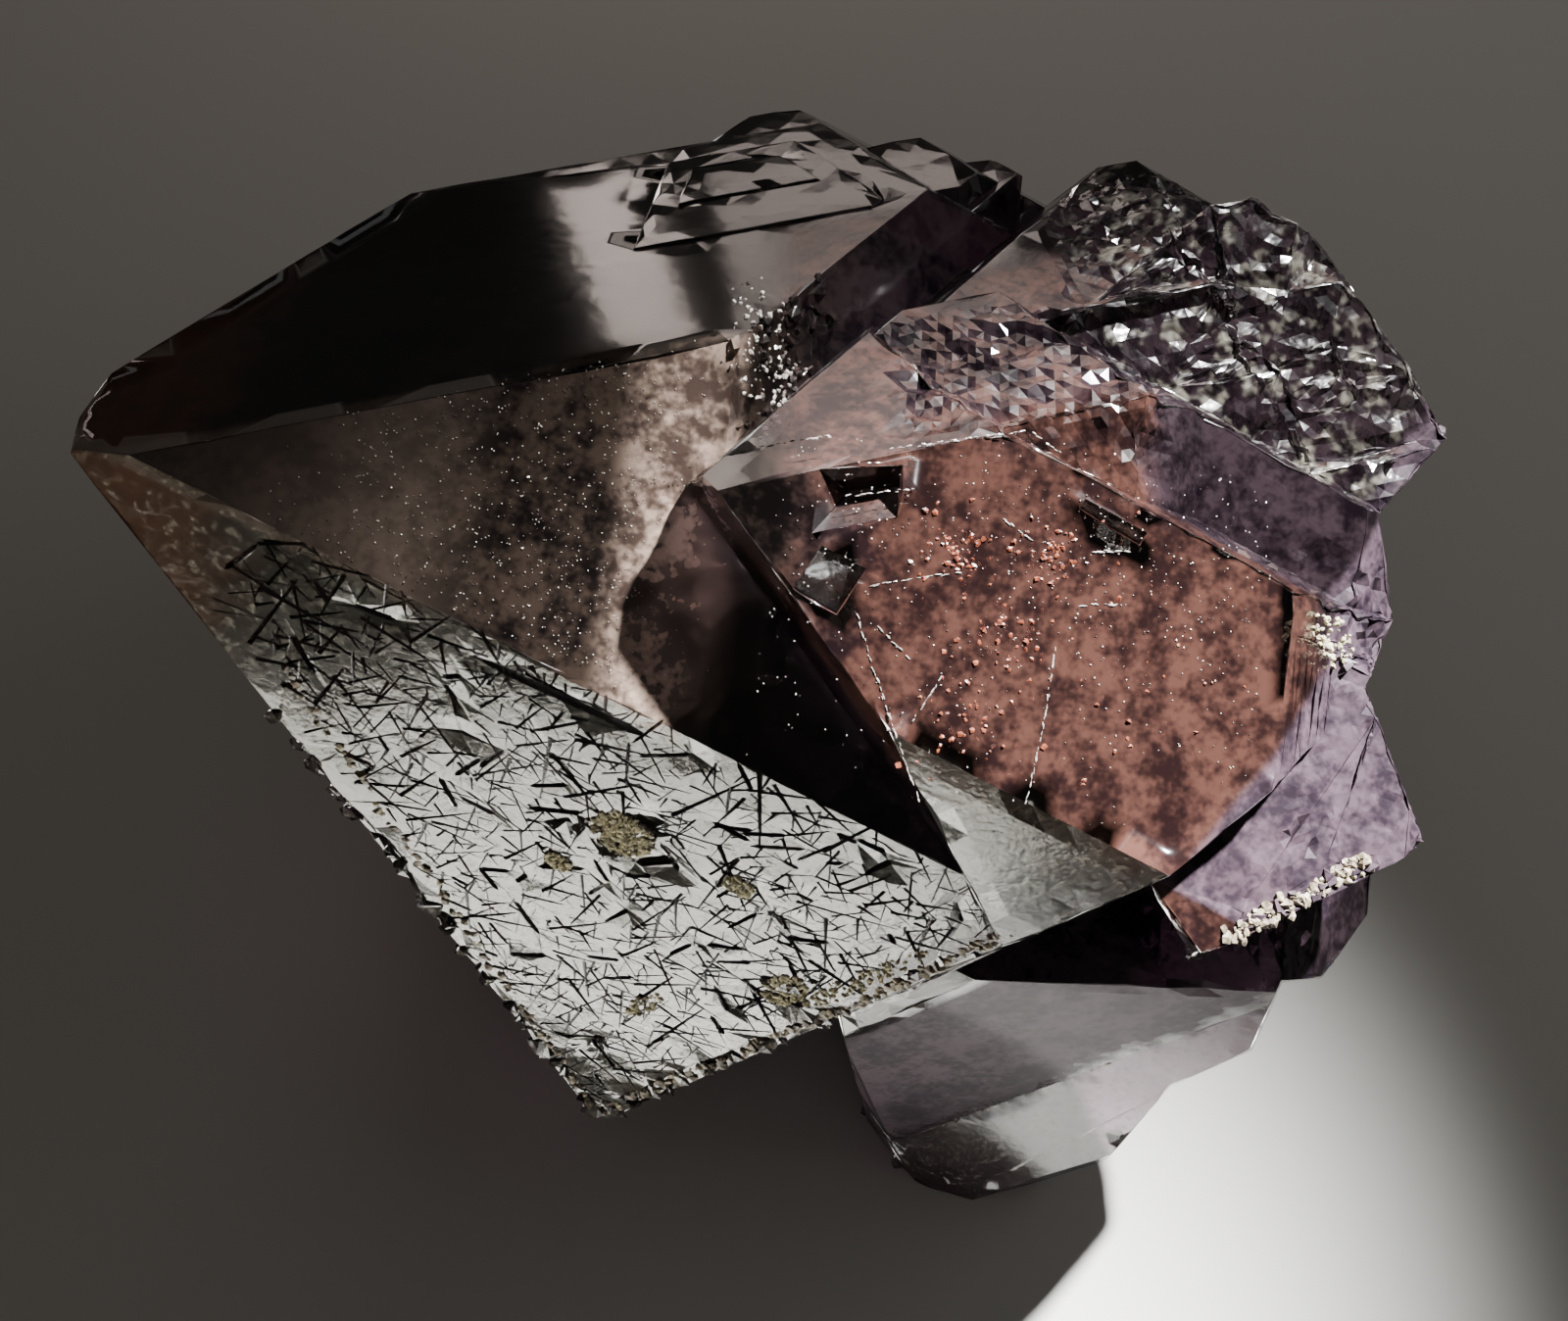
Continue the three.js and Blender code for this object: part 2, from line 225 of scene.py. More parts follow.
class CrystalSettings(bpy.types.PropertyGroup):
    edge_width: FloatProperty(
        name="Edge width", description="How wide the worn edges are",
        default=0.07 * MM, unit="LENGTH",
    )
    grooves: IntProperty(
        name="Grooves", description="Fine grooves etched into the lower face, in each of its directions",
        default=140, min=0,
    )
    body_colour: FloatVectorProperty(
        name="Body colour", description="The colour that the clear quartz lets through",
        default=(0.46, 0.22, 0.40), size=3, subtype="COLOR",
    )
    depth_of_colour: FloatProperty(
        name="Depth of colour", description="How strongly the clear quartz takes up light, per metre",
        default=240.0,
    )
    refraction: FloatProperty(
        name="Refraction", description="The index of refraction of quartz",
        default=1.544,
    )


class GrowthSettings(bpy.types.PropertyGroup):
    specks: IntProperty(
        name="Specks", description="Hematite specks in the raised crystal's swarms",
        default=420, min=0,
    )
    sparks: IntProperty(
        name="Sparks", description="Tiny bright quartz grains on the front faces",
        default=1800, min=0,
    )
    crumbs: IntProperty(
        name="Crumbs", description="Quartz crumbs along each rough rim",
        default=120, min=0,
    )
    clay_colour: FloatVectorProperty(
        name="Clay colour", description="The dry clay left in the hollows",
        default=(0.5, 0.45, 0.29), size=3, subtype="COLOR",
    )
    speck_colour: FloatVectorProperty(
        name="Speck colour", description="The red-brown hematite specks",
        default=(0.15, 0.038, 0.018), size=3, subtype="COLOR",
    )


class StudioSettings(bpy.types.PropertyGroup):
    floor_colour: FloatVectorProperty(
        name="Floor colour", description="The plain pale floor",
        default=(0.72, 0.71, 0.67), size=3, subtype="COLOR",
    )
    lens: FloatProperty(
        name="Lens", description="The camera's focal length in millimetres, on a 36 mm wide sensor",
        default=37.96,
    )
    camera_lift: FloatProperty(
        name="Camera lift", description="How far above the horizontal the camera looks down",
        default=math.radians(75), subtype="ANGLE",
    )


def make_piece(name, bm, finish):
    """Turns a bmesh into a piece of the object, kept in the solid's box, which rides on its one body."""
    for vert in bm.verts:
        vert.co = Vector([min(max(value, low), high) for value, low, high in zip(vert.co, *CAD_BOX)])
    mesh = bpy.data.meshes.new(name)
    bm.to_mesh(mesh)
    bm.free()
    piece = bpy.data.objects.new(name, mesh)
    bpy.context.scene.collection.objects.link(piece)
    mesh.materials.append(finish)
    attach(piece, "root")
    return piece


# The clouds' colours, each from its dark tone to its light one; some are painted light and shade, as marked.
BROWN = (0.007, 0.005, 0.005), (0.038, 0.026, 0.02)
RED = (0.013, 0.006, 0.006), (0.047, 0.021, 0.016)
PURPLE = (0.012, 0.007, 0.011), (0.045, 0.029, 0.036)
# Dark tones painted on the lower crystal's wide face as painted shade, in place of a mirrored bright floor.
PAINTED_SHADE_DUSK = (0.012, 0.007, 0.012), (0.06, 0.04, 0.052)
# Lighter browns painted into the raised crystal's cast shadow on the front face: painted light.
SHADOW_PAINTED_LIGHT_BROWN = (0.12, 0.08, 0.065), (0.55, 0.4, 0.32)
# A lighter brown painted near the tip, which the beam leaves unlit: painted light.
TIP_PAINTED_LIGHT_BROWN = (0.09, 0.066, 0.052)
# A painted orange glow at the tip, standing in for light shining through the point.
PAINTED_GLOW_ORANGE = (0.075, 0.024, 0.009)
# Colours of the clear quartz and of its frosted places.
CLEAR = (0.95, 0.9, 0.92)
FROST = (0.34, 0.32, 0.26)


def crystal_finish(settings):
    """Brownish purple quartz: clear, with clouds, etched faces and torn ones."""
    look = Finish("amethyst")
    place = look.place()
    down, across, out = (look.dot(place, axis) for axis in face_axes(FRONT, ROOF_LEAN))
    normal = look.node("ShaderNodeNewGeometry", output="True Normal")
    turned = LAID.to_3x3()
    faces_lower = look.dot(normal, turned @ face_direction(LOWER, ROOF_LEAN)).between(0.93, 0.98)
    faces_upper = look.dot(normal, turned @ face_direction(UPPER, ROOF_LEAN)).between(0.93, 0.98)

    patchy = look.noise(place, 0.5, detail=2.5, roughness=0.65)
    fine = look.noise(place, 2.6, detail=1.5, roughness=0.75)

    # Masks by place: the raised crystal's reddish window, the main front face, the brown end of the point,
    # a reddish part of the upper faces, a painted orange glow at the tip standing in for light shining
    # through it, and the torn flank on the right.
    raised = out.between(1.2, 2.4) * down.between(44, 42) * across.between(9.5, 8)
    window = raised * (down + 6 * patchy).between(23.5, 29)
    main_front = out.size().between(0.6, 0.3) * down.between(22, 19)
    main_body = down.between(27, 21)
    upper_window = faces_upper * down.between(20.5, 23) * out.between(-6, -4.5)
    # Painted glow: orange colour near the tip in place of light shining through it.
    painted_glow = (down + 8 * patchy).between(9, 5)
    torn_side = out.between(-1.4, -2.4) * across.between(3, 6) * down.between(33, 36)

    # The lower crystal's wide face, all but its lowest part, gets a dull finish in painted dark colours, a
    # painted dark reflection, where a clear one would mirror the bright floor.
    low_down, low_out = (look.dot(place, axis) for axis in face_axes(LOWER, ROOF_LEAN)[::2])
    dull_painted_shade = low_down.between(34.8, 35.4) * low_out.between(-0.4, -0.6)
    dull_painted_shade = dull_painted_shade * (low_down + 6 * patchy).between(50.5, 48.5)
    # Painted light: the part of the front face where the raised crystal's shadow falls gets lighter colours
    # painted in to brighten that shadow, and so does the part near the tip, which the beam leaves unlit.
    painted_light_in_shadow = main_front * down.between(16.2, 18.2)
    # Painted light near the tip, where the beam does not reach.
    painted_light_near_tip = main_front * down.between(13, 9)

    tone = (0.65 * patchy + 0.35 * fine).between(0.38, 0.62)
    brown = look.mix(painted_glow, look.mix(tone, *BROWN), PAINTED_GLOW_ORANGE)
    brown = look.mix(painted_light_near_tip, brown, TIP_PAINTED_LIGHT_BROWN)
    brown = look.mix(painted_light_in_shadow, brown, look.mix(tone, *SHADOW_PAINTED_LIGHT_BROWN))
    either_window = window.larger(upper_window)
    body = look.mix(main_body, look.mix(tone, *PURPLE), brown)
    cloud_colour = look.mix(either_window, body, look.mix(tone, *RED))
    # How much the clouds hide the clear quartz: least on the upper face.
    cloud = (0.3 + 0.5 * either_window + 0.4 * main_front + 0.4 * painted_glow).clamp()
    cloud = cloud * (1 - 0.8 * faces_upper * (1 - upper_window) * (1 - painted_glow)) * (0.6 + 0.4 * tone)

    # Whitish streaks where the flank is torn, running down it.
    streak = look.noise(place, 1.1, detail=2, roughness=0.75, stretch=(1.3, 0.8, 0.3))
    torn = torn_side * streak.between(0.5, 0.75)

    uneven = look.bump(patchy, 0.2, 0.05 * MM)
    ragged = fine * faces_lower + streak * (torn_side * 6 + 3 * upper_window)
    uneven = look.bump(ragged, 0.5, 0.02 * MM, uneven)

    clear = look.surface(
        base_color=CLEAR,
        roughness=0.09 + 0.08 * faces_lower * fine + 0.2 * upper_window,
        ior=settings.refraction,
        transmission_weight=1.0,
        normal=uneven,
    )
    clouded = look.surface(
        base_color=cloud_colour,
        roughness=0.13 + (0.25 * upper_window).larger(0.08 * torn_side),
        ior=settings.refraction,
        normal=uneven,
    )
    frosted = look.surface(
        base_color=FROST,
        roughness=0.35,
        ior=settings.refraction,
        normal=uneven,
    )
    # A dull surface in dark tones: painted shade for the lower crystal's wide face.
    painted_shade_surface = look.surface(
        base_color=look.mix(tone, *PAINTED_SHADE_DUSK),
        roughness=0.55,
        specular_ior_level=0.15,
        normal=uneven,
    )
    frost = (faces_lower * (0.05 + 0.25 * fine.between(0.5, 0.75))).larger(0.4 * torn)
    quartz = look.blend(frost.clamp(), look.blend(cloud.clamp(), clear, clouded), frosted)
    volume = look.node(
        "ShaderNodeVolumeAbsorption", {},
        {"Color": tuple(settings.body_colour), "Density": settings.depth_of_colour},
    )
    # The painted shade is mixed in on the lower crystal's wide face.
    return look.done(look.blend(0.9 * dull_painted_shade, quartz, painted_shade_surface), volume)


def plain_finish(name, dark, light, scale, roughness, bumpiness=0.4):
    """A matt finish in two mottled tones."""
    look = Finish(name)
    mottle = look.noise(look.place(), scale, detail=3, roughness=0.6)
    colour = look.mix(mottle.between(0.35, 0.65), dark, light)
    uneven = look.bump(mottle, bumpiness, 0.03 * MM)
    return look.done(look.surface(base_color=colour, roughness=roughness, normal=uneven))


def quartz_grain_finish(settings):
    """Small bright grains of quartz, half clear."""
    look = Finish("bright_quartz")
    mottle = look.noise(look.place(), 2.2, detail=2)
    clear = look.surface(
        base_color=(0.92, 0.88, 0.9), roughness=0.12, ior=settings.refraction, transmission_weight=1.0,
    )
    white = look.surface(
        base_color=look.mix(mottle.between(0.4, 0.6), (0.14, 0.11, 0.10), (0.6, 0.56, 0.5)),
        roughness=0.25, ior=settings.refraction,
    )
    return look.done(look.blend(mottle.between(0.3, 0.5), clear, white))


def scattered(roll, count, start, end, spread):
    """Places [down, across] strewn along a line on a face, in millimetres."""
    for i in range(count):
        share = (i + roll.random()) / count
        yield [a + (b - a) * share + roll.uniform(-spread, spread) for a, b in zip(start, end)]


def add_grain(bm, roll, where, size, flat=1.0, stretch=1.0, jag=0.25):
    """A small angular grain at a place given by a matrix, its sizes in millimetres."""
    spin = Matrix.Rotation(roll.uniform(0, math.tau), 4, "Z") if stretch == 1 else Matrix.Identity(4)
    shape = Matrix.Diagonal((size * stretch, size * roll.uniform(0.6, 1), size * flat, 1))
    made = bmesh.ops.create_icosphere(bm, subdivisions=1, radius=1, matrix=where @ spin @ shape)
    reach = size * MM
    for vert in made["verts"]:
        vert.co += Vector([roll.uniform(-jag, jag) * reach for _ in range(3)])


def face_spot(side, far, down, across, depth=0.0, lean=ROOF_LEAN):
    """The matrix to the model's metres from millimetres round a spot on a face, or under it."""
    return face_place(side, lean, far) @ Matrix.Translation((down, across, -depth))


def merged_copy(node):
    """A bmesh of a CAD node with its loose triangles merged and its flat faces whole again."""
    bm = bmesh.new()
    bm.from_mesh(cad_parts[node].data)
    bmesh.ops.remove_doubles(bm, verts=bm.verts, dist=0.0005 * MM)
    bmesh.ops.dissolve_limit(bm, angle_limit=math.radians(0.2), verts=bm.verts, edges=bm.edges)
    return bm


# Rough places: the lowest and highest (down, across, out) of each on the front face, in millimetres.
ROUGH_PLACES = (
    ((33, 4.5, -9), (52, 22, -1.2)),
    ((26, 3.5, -3), (37, 11, 3.4)),
    ((38, -14, -6), (52, 3, 2.6)),
)
# How wide the border is in which a rough place fades in.
ROUGH_BORDER = 0.8


def roughness_at(spot):
    """1 deep inside a rough place and 0 outside them all, for a (down, across, out) place."""
    share = 0.0
    for low, high in ROUGH_PLACES:
        inset = min(min(value - a, b - value) for value, a, b in zip(spot, low, high))
        share = max(share, min(1.0, inset / ROUGH_BORDER))
    return share


# The longest edges that each round of splitting leaves, in millimetres, all over and in rough places.
SPLIT_LIMITS = (4.8, 2.4, 1.4)
ROUGH_SPLIT_LIMITS = (0.9, 0.6)


def split_finely(bm):
    """Splits edges until few are longer than the limits, all over and then in the rough places."""
    to_face = face_place(FRONT, ROOF_LEAN, 0).inverted()
    for limit in SPLIT_LIMITS + ROUGH_SPLIT_LIMITS:
        long_edges = []
        for edge in bm.edges:
            if edge.calc_length() > limit * MM:
                middle = to_face @ ((edge.verts[0].co + edge.verts[1].co) / 2)
                if limit in SPLIT_LIMITS or roughness_at(middle) > 0:
                    long_edges.append(edge)
        bmesh.ops.subdivide_edges(bm, edges=long_edges, cuts=1)
        bmesh.ops.triangulate(bm, faces=bm.faces)


# How deep the weather cuts, in millimetres: everywhere, along edges, in chips and in rough hollows.
WAVE_DEPTH = 0.012
EDGE_DEPTH = 0.02
CHIP_DEPTH = 0.35
HOLLOW_DEPTH = 0.5
# Only edges that turn at least this many degrees chip, where the noise is above this.
CHIPPED_TURN = 10
CHIP_START = 0.05


def weather(bm):
    """Sinks chips into the edges, and ragged hollows into the rough places."""
    bm.normal_update()
    to_face = face_place(FRONT, ROOF_LEAN, 0).inverted()
    sunk = {}
    for vert in bm.verts:
        spot = to_face @ vert.co
        edged = any(edge.calc_face_angle(0) > math.radians(CHIPPED_TURN) for edge in vert.link_edges)
        depth = WAVE_DEPTH * (1 + noise.noise(spot * 0.25))
        if edged:
            depth += EDGE_DEPTH + CHIP_DEPTH * max(0, noise.noise(spot * 0.9) - CHIP_START) ** 1.3
        rough = roughness_at(spot)
        if rough:
            torn = abs(noise.noise(Vector((spot.x * 0.35, spot.y * 0.9, spot.z * 0.9))))
            torn += 0.5 * abs(noise.noise(spot * 2.3))
            depth += HOLLOW_DEPTH * rough * torn
        sunk[vert] = vert.co - vert.normal * depth * MM
    for vert, place in sunk.items():
        vert.co = place


# The lower face: how far it runs down, and its spread to each side for each millimetre down.
LOWER_LENGTH = 33.6
LOWER_SPREAD = (-0.405, 0.345)
# Half lengths of the short grooves and of the long ones, and half widths, in millimetres.
SHORT_HALVES = (0.25, 1.4)
LONG_HALVES = (1.2, 2.2)
GROOVE_HALF_WIDTHS = (0.035, 0.085)
# The share of short grooves.
SHORT_SHARE = 0.85
# The least gaps between two grooves of one direction, in millimetres: side by side, what their half
# lengths add to that per millimetre, and end to end.
BESIDE_GAP = 0.22
ADDED_GAP = 0.17
END_GAP = 0.1
# The grooves' directions, in degrees from straight down the face, and how far they stray.
GROOVE_TURNS = (22.4, -22.4, 90, 62, -52, 4, -75, 42)
GROOVE_STRAY = 8


def groove_cutter(roll, turn, count):
    """Thin tapering bars lying in the lower face, all nearly one way and none touching another."""
    bm = bmesh.new()
    way = math.radians(turn)
    along = Vector((math.cos(way), math.sin(way)))
    beside = Vector((-math.sin(way), math.cos(way)))
    taken = []
    for _ in range(count * 4):
        if len(taken) == count:
            break
        down = math.sqrt(roll.uniform(0.03, 1)) * LOWER_LENGTH
        across = roll.uniform(*LOWER_SPREAD) * down
        halves = SHORT_HALVES if roll.random() < SHORT_SHARE else LONG_HALVES
        half = roll.uniform(*halves)
        spot = Vector((down, across))
        row = (spot.dot(along), spot.dot(beside), half)
        if any(
            abs(row[1] - b) < BESIDE_GAP + ADDED_GAP * (half + h)
            and abs(row[0] - a) < half + h + END_GAP
            for a, b, h in taken
        ):
            continue
        taken.append(row)
        width = roll.uniform(*GROOVE_HALF_WIDTHS) * (1 + 0.3 * half)
        spin = Matrix.Rotation(math.radians(turn + roll.uniform(-GROOVE_STRAY, GROOVE_STRAY)), 4, "Z")
        lay = face_spot(LOWER, 0, down, across) @ spin @ Matrix.Rotation(math.pi / 2, 4, "Y")
        bmesh.ops.create_cone(
            bm, cap_ends=True, segments=4, radius1=width, radius2=width * 0.5, depth=2 * half,
            matrix=lay,
        )
    mesh = bpy.data.meshes.new("cutter")
    bm.to_mesh(mesh)
    bm.free()
    cutter = bpy.data.objects.new("cutter", mesh)
    bpy.context.scene.collection.objects.link(cutter)
    return cutter


def cut_away(piece, cutter):
    """Takes the cutter's shape out of a piece, and clears the cutter away."""
    modifier = piece.modifiers.new("cut", "BOOLEAN")
    modifier.operation = "DIFFERENCE"
    modifier.solver = "MANIFOLD"
    modifier.object = cutter
    graph = bpy.context.evaluated_depsgraph_get()
    cut_mesh = bpy.data.meshes.new_from_object(piece.evaluated_get(graph))
    piece.modifiers.clear()
    piece.data = cut_mesh
    bpy.data.objects.remove(cutter)


# Only edges that turn at least this many degrees, and are at least this long, are worn round.
WORN_TURN = 12
WORN_LENGTH = 1.2 * MM


class AMETHYST_OT_crystal(bpy.types.Operator):
    """Make the crystal, with worn edges and etched grooves, in place of the plain solid"""

    bl_idname = "amethyst.crystal"
    bl_label = "Crystal"

    def execute(self, context):
        settings = context.scene.amethyst_crystal
        bm = merged_copy(NODE)
        sharp = [
            edge for edge in bm.edges
            if edge.is_manifold
            and edge.calc_face_angle(0) > math.radians(WORN_TURN)
            and edge.calc_length() > WORN_LENGTH
        ]
        bmesh.ops.bevel(
            bm, geom=sharp, offset=settings.edge_width, offset_type="OFFSET", segments=2,
            profile=0.5, affect="EDGES", clamp_overlap=True, material=-1,
        )
        bmesh.ops.triangulate(bm, faces=bm.faces)
        split_finely(bm)
        weather(bm)
        piece = make_piece("amethyst", bm, crystal_finish(settings))
        roll = random.Random(5)
        for turn in GROOVE_TURNS:
            cut_away(piece, groove_cutter(roll, turn, settings.grooves))
        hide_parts(NODE)
        return {"FINISHED"}


# How far the raised crystal's front face stands out of the main one, in millimetres.
RAISED_FAR = 3.6
# Swarms of specks under that face: middle, reach, and share of all the specks.
SPECK_SWARMS = (
    ((28.5, 0.3), 1.5, 0.24),
    ((31.8, 0.7), 1.1, 0.22),
    ((30.6, -2.4), 1.6, 0.2),
    ((29.6, -5.3), 1.8, 0.2),
    ((34.5, -2.5), 4.5, 0.14),
)


class AMETHYST_OT_specks(bpy.types.Operator):
    """Strew hematite specks just under the raised crystal's front face"""

    bl_idname = "amethyst.specks"
    bl_label = "Hematite specks"

    def execute(self, context):
        settings = context.scene.amethyst_growth
        roll = random.Random(8)
        bm = bmesh.new()
        for middle, reach, share in SPECK_SWARMS:
            for _ in range(round(settings.specks * share)):
                down = middle[0] + roll.gauss(0, reach / 2)
                across = middle[1] + roll.gauss(0, reach / 2)
                depth = roll.uniform(-0.01, 0.1)
                where = face_spot(FRONT, RAISED_FAR, down, across, depth)
                add_grain(bm, roll, where, roll.uniform(0.05, 0.14), flat=0.45)
        red = tuple(settings.speck_colour)
        dark = tuple(value * 0.5 for value in red)
        make_piece("hematite_specks", bm, plain_finish("hematite", dark, red, 2.0, 0.35))
        return {"FINISHED"}


# How far apart a crack's grains lie, in millimetres.
CRACK_STEP = 0.22
# White cracks that reach the raised crystal's front face: lines of (down, across) places.
CRACKS = (
    ((19.9, 2.5), (21.2, 3.0), (23.7, 3.7)),
    ((25.6, 3.5), (30.5, 4.9), (31.9, 4.2)),
    ((24.4, 1.7), (26.8, 2.3)),
    ((25.5, -1.3), (27.3, -0.7), (28.6, -0.4)),
    ((32.4, -2.5), (32.3, -5.3), (32.0, -8.0)),
    ((33.2, 1.0), (34.6, 1.2)),
    ((33.2, -0.9), (34.5, -0.7)),
    ((29.8, 1.8), (31.2, 1.0)),
    ((28.5, -4.0), (27.6, -5.8)),
    ((25.2, -2.2), (26.2, -4.4), (27.2, -6.4), (28.2, -8.4)),
    ((26.0, -2.6), (27.2, -3.5)),
)


class AMETHYST_OT_cracks(bpy.types.Operator):
    """Run the white cracks through the raised crystal's front face"""

    bl_idname = "amethyst.cracks"
    bl_label = "Cracks"

    def execute(self, context):
        roll = random.Random(13)
        bm = bmesh.new()
        for line in CRACKS:
            for start, end in zip(line, line[1:]):
                length = math.dist(start, end)
                turn = math.atan2(end[1] - start[1], end[0] - start[0])
                steps = max(3, round(length / CRACK_STEP))
                for down, across in scattered(roll, steps, start, end, 0.035):
                    where = face_spot(FRONT, RAISED_FAR, down, across)
                    where = where @ Matrix.Rotation(turn + roll.uniform(-0.2, 0.2), 4, "Z")
                    size = roll.uniform(0.02, 0.045)
                    add_grain(bm, roll, where, size, flat=0.8, stretch=roll.uniform(2.5, 5), jag=0.2)
        finish = plain_finish("white_crack", (0.12, 0.10, 0.09), (0.4, 0.37, 0.34), 3.0, 0.3)
        make_piece("cracks", bm, finish)
        return {"FINISHED"}


# The share of the sparks that lie on the main front face.
MAIN_SHARE = 0.6
# The grains on the wall in the rough corner: how many, from where to where, and how far they stray.
CORNER_GRAINS = (260, (16.5, 8.5), (20, 3.5), 1.4)
# How far that wall lies from the front corner, in millimetres.
CORNER_FAR = 12.6


class AMETHYST_OT_sparks(bpy.types.Operator):
    """Strew tiny bright quartz grains over the front faces and the rough corner between them"""

    bl_idname = "amethyst.sparks"
    bl_label = "Sparks"

    def execute(self, context):
        settings = context.scene.amethyst_growth
        roll = random.Random(21)
        bm = bmesh.new()
        for _ in range(settings.sparks):
            if roll.random() < MAIN_SHARE:
                down, far = roll.triangular(4, 21, 17), 0.0
                across = roll.uniform(-0.33, 0.37) * down
            else:
                down, far = roll.uniform(22, 40), RAISED_FAR
                across = roll.triangular(-9, 5, 2)
            where = face_spot(FRONT, far, down, across)
            add_grain(bm, roll, where, roll.uniform(0.012, 0.035), flat=0.7)
        for down, across in scattered(roll, *CORNER_GRAINS):
            where = face_spot(FRONT, CORNER_FAR, down, across, 0.05, lean=WALL_LEAN)
            add_grain(bm, roll, where, roll.uniform(0.03, 0.14), flat=0.8)
        make_piece("bright_quartz", bm, quartz_grain_finish(context.scene.amethyst_crystal))
        return {"FINISHED"}


# Rough rims: side, how far out, one end, the other end, and how far the crumbs stray.
RIMS = (
    (LOWER, 0, (9, -3.7), (34.2, -14.2), 0.22),
    (LOWER, 0, (34.3, -14.2), (34.6, 1), 0.3),
    (LOWER, 0, (34.6, 1), (34.4, 11), 0.2),
    (FRONT, 2.4, (45.6, -8.6), (40.6, -12), 0.35),
    (LOWER, -4.3, (46.6, -4.4), (46.4, 8), 0.3),
)


class AMETHYST_OT_crumbs(bpy.types.Operator):
    """Crust the rough rims with quartz crumbs"""

    bl_idname = "amethyst.crumbs"
    bl_label = "Quartz crumbs"

    def execute(self, context):
        settings = context.scene.amethyst_growth
        roll = random.Random(34)
        bm = bmesh.new()
        for side, far, start, end, spread in RIMS:
            for down, across in scattered(roll, settings.crumbs, start, end, spread):
                where = face_spot(side, far, down, across, 0.05)
                add_grain(bm, roll, where, roll.uniform(0.06, 0.26), flat=0.6)
        finish = plain_finish("rough_quartz", (0.07, 0.05, 0.035), (0.3, 0.25, 0.17), 1.6, 0.5, 0.8)
        make_piece("quartz_crumbs", bm, finish)
        return {"FINISHED"}


# Patches of clay: side, how far out, middle, reach down and across, and number of grains.
CLAY_PATCHES = (
    (LOWER, 0, (22.4, 1.2), (1.3, 1.1), 420),
    (LOWER, 0, (22.0, -2.4), (0.6, 0.4), 60),
    (LOWER, 0, (27.0, 3.1), (0.7, 0.5), 80),
    (LOWER, 0, (32.4, 0.2), (0.8, 1.1), 160),
    (LOWER, 0, (33.6, 3.5), (0.5, 3.5), 120),
    (LOWER, 0, (30.0, -6.0), (0.4, 1.2), 50),
    (FRONT, 2.4, (42.8, -1.0), (1.3, 1.1), 120),
)


class AMETHYST_OT_clay(bpy.types.Operator):
    """Press dry clay into the hollows of the lower face and the gap on the right"""

    bl_idname = "amethyst.clay"
    bl_label = "Clay"

    def execute(self, context):
        settings = context.scene.amethyst_growth
        roll = random.Random(55)
        bm = bmesh.new()
        for side, far, middle, reach, count in CLAY_PATCHES:
            for _ in range(count):
                turn, away = roll.uniform(0, math.tau), math.sqrt(roll.random())
                down = middle[0] + reach[0] * away * math.cos(turn)
                across = middle[1] + reach[1] * away * math.sin(turn)
                where = face_spot(side, far, down, across, 0.02)
                add_grain(bm, roll, where, roll.uniform(0.05, 0.16), flat=0.8)
        light = tuple(settings.clay_colour)
        dark = tuple(value * 0.45 for value in light)
        make_piece("clay", bm, plain_finish("clay", dark, light, 2.0, 0.9, 0.8))
        return {"FINISHED"}


# Where the camera stands, measured from the front corner.
CAMERA_OFFSET = Vector((22.5, -21.49, 52.94)) * MM


